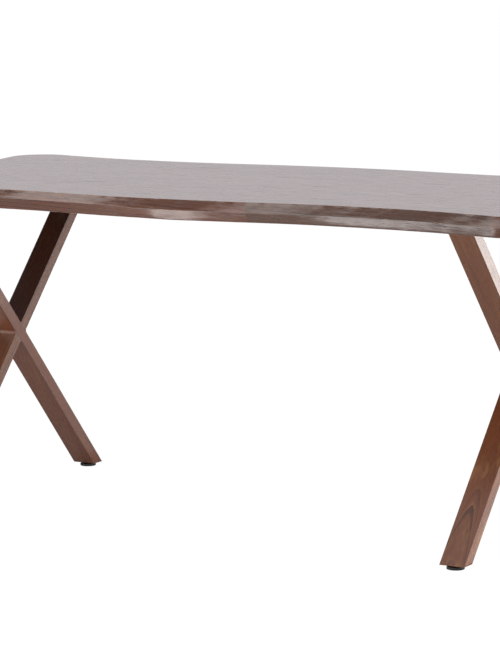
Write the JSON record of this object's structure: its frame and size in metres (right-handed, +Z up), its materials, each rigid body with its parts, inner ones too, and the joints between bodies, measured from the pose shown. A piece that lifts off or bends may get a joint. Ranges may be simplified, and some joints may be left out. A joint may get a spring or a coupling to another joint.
{
  "type": "sawbuck table",
  "caption": "Dining table with a wavy bevel-edged wooden top on crossed plank legs, half-lapped at the crossing, standing on screw-in levelling feet.",
  "frame": {"origin": "on the floor, under the middle of the table top", "axes": "+X along the table's length, +Y across it towards the back, +Z up"},
  "size_m": [1.7998, 0.8998, 0.75],
  "materials": {
    "top_veneer": "walnut-stained open-grain veneer, satin lacquer",
    "backing_veneer": "walnut-stained backing veneer, thin lacquer",
    "core_board": "raw core board",
    "edge_wood": "walnut-stained solid wood, satin lacquer",
    "leg_wood": "walnut-stained solid wood, satin lacquer",
    "dowel_wood": "raw beech",
    "plate_steel": "black powder coat",
    "zinc_steel": "bright zinc plate",
    "foot_plastic": "fine-textured black nylon"
  },
  "bodies": {
    "table": {"foot_insert_back_left": "zinc_steel", "foot_insert_back_right": "zinc_steel", "foot_insert_front_left": "zinc_steel", "foot_insert_front_right": "zinc_steel", "left_back_leg_screws": "zinc_steel", "left_front_leg_screws": "zinc_steel", "left_lap_dowels": "dowel_wood", "left_leg_back_foot": "leg_wood", "left_leg_front_foot": "leg_wood", "left_mounting_plate": "plate_steel", "left_top_bolts": "zinc_steel", "left_top_inserts": "zinc_steel", "left_top_washers": "zinc_steel", "lipping_back_left": "edge_wood", "lipping_back_middle": "edge_wood", "lipping_back_right": "edge_wood", "lipping_corner_back_left": "edge_wood", "lipping_corner_back_right": "edge_wood", "lipping_corner_front_left": "edge_wood", "lipping_corner_front_right": "edge_wood", "lipping_front_left": "edge_wood", "lipping_front_middle": "edge_wood", "lipping_front_right": "edge_wood", "lipping_left_end": "edge_wood", "lipping_right_end": "edge_wood", "right_back_leg_screws": "zinc_steel", "right_front_leg_screws": "zinc_steel", "right_lap_dowels": "dowel_wood", "right_leg_back_foot": "leg_wood", "right_leg_front_foot": "leg_wood", "right_mounting_plate": "plate_steel", "right_top_bolts": "zinc_steel", "right_top_inserts": "zinc_steel", "right_top_washers": "zinc_steel", "top_backing_veneer": "backing_veneer", "top_core": "core_board", "top_face_veneer": "top_veneer"},
    "stud_front_left": {"foot_stud_front_left": "zinc_steel"},
    "pad_front_left": {"foot_pad_front_left": "foot_plastic"},
    "stud_back_left": {"foot_stud_back_left": "zinc_steel"},
    "pad_back_left": {"foot_pad_back_left": "foot_plastic"},
    "stud_front_right": {"foot_stud_front_right": "zinc_steel"},
    "pad_front_right": {"foot_pad_front_right": "foot_plastic"},
    "stud_back_right": {"foot_stud_back_right": "zinc_steel"},
    "pad_back_right": {"foot_pad_back_right": "foot_plastic"}
  },
  "joints": [
    {"name": "foot_travel_front_left", "type": "slide", "parent": "table", "child": "stud_front_left", "axis": [0, 0, -1], "range_m": [0, 0.006]},
    {"name": "foot_turn_front_left", "type": "hinge", "parent": "stud_front_left", "child": "pad_front_left", "pos_m": [-0.665, -0.324, 0.004], "axis": [0, 0, -1], "range_deg": [0, 2160]},
    {"name": "foot_travel_back_left", "type": "slide", "parent": "table", "child": "stud_back_left", "axis": [0, 0, -1], "range_m": [0, 0.006]},
    {"name": "foot_turn_back_left", "type": "hinge", "parent": "stud_back_left", "child": "pad_back_left", "pos_m": [-0.665, 0.324, 0.004], "axis": [0, 0, -1], "range_deg": [0, 2160]},
    {"name": "foot_travel_front_right", "type": "slide", "parent": "table", "child": "stud_front_right", "axis": [0, 0, -1], "range_m": [0, 0.006]},
    {"name": "foot_turn_front_right", "type": "hinge", "parent": "stud_front_right", "child": "pad_front_right", "pos_m": [0.665, -0.324, 0.004], "axis": [0, 0, -1], "range_deg": [0, 2160]},
    {"name": "foot_travel_back_right", "type": "slide", "parent": "table", "child": "stud_back_right", "axis": [0, 0, -1], "range_m": [0, 0.006]},
    {"name": "foot_turn_back_right", "type": "hinge", "parent": "stud_back_right", "child": "pad_back_right", "pos_m": [0.665, 0.324, 0.004], "axis": [0, 0, -1], "range_deg": [0, 2160]}
  ],
  "couplings": [
    {"joint": "foot_travel_front_left", "follows": "foot_turn_front_left", "m_per_rad": 0.00015915},
    {"joint": "foot_travel_back_left", "follows": "foot_turn_back_left", "m_per_rad": 0.00015915},
    {"joint": "foot_travel_front_right", "follows": "foot_turn_front_right", "m_per_rad": 0.00015915},
    {"joint": "foot_travel_back_right", "follows": "foot_turn_back_right", "m_per_rad": 0.00015915}
  ]
}
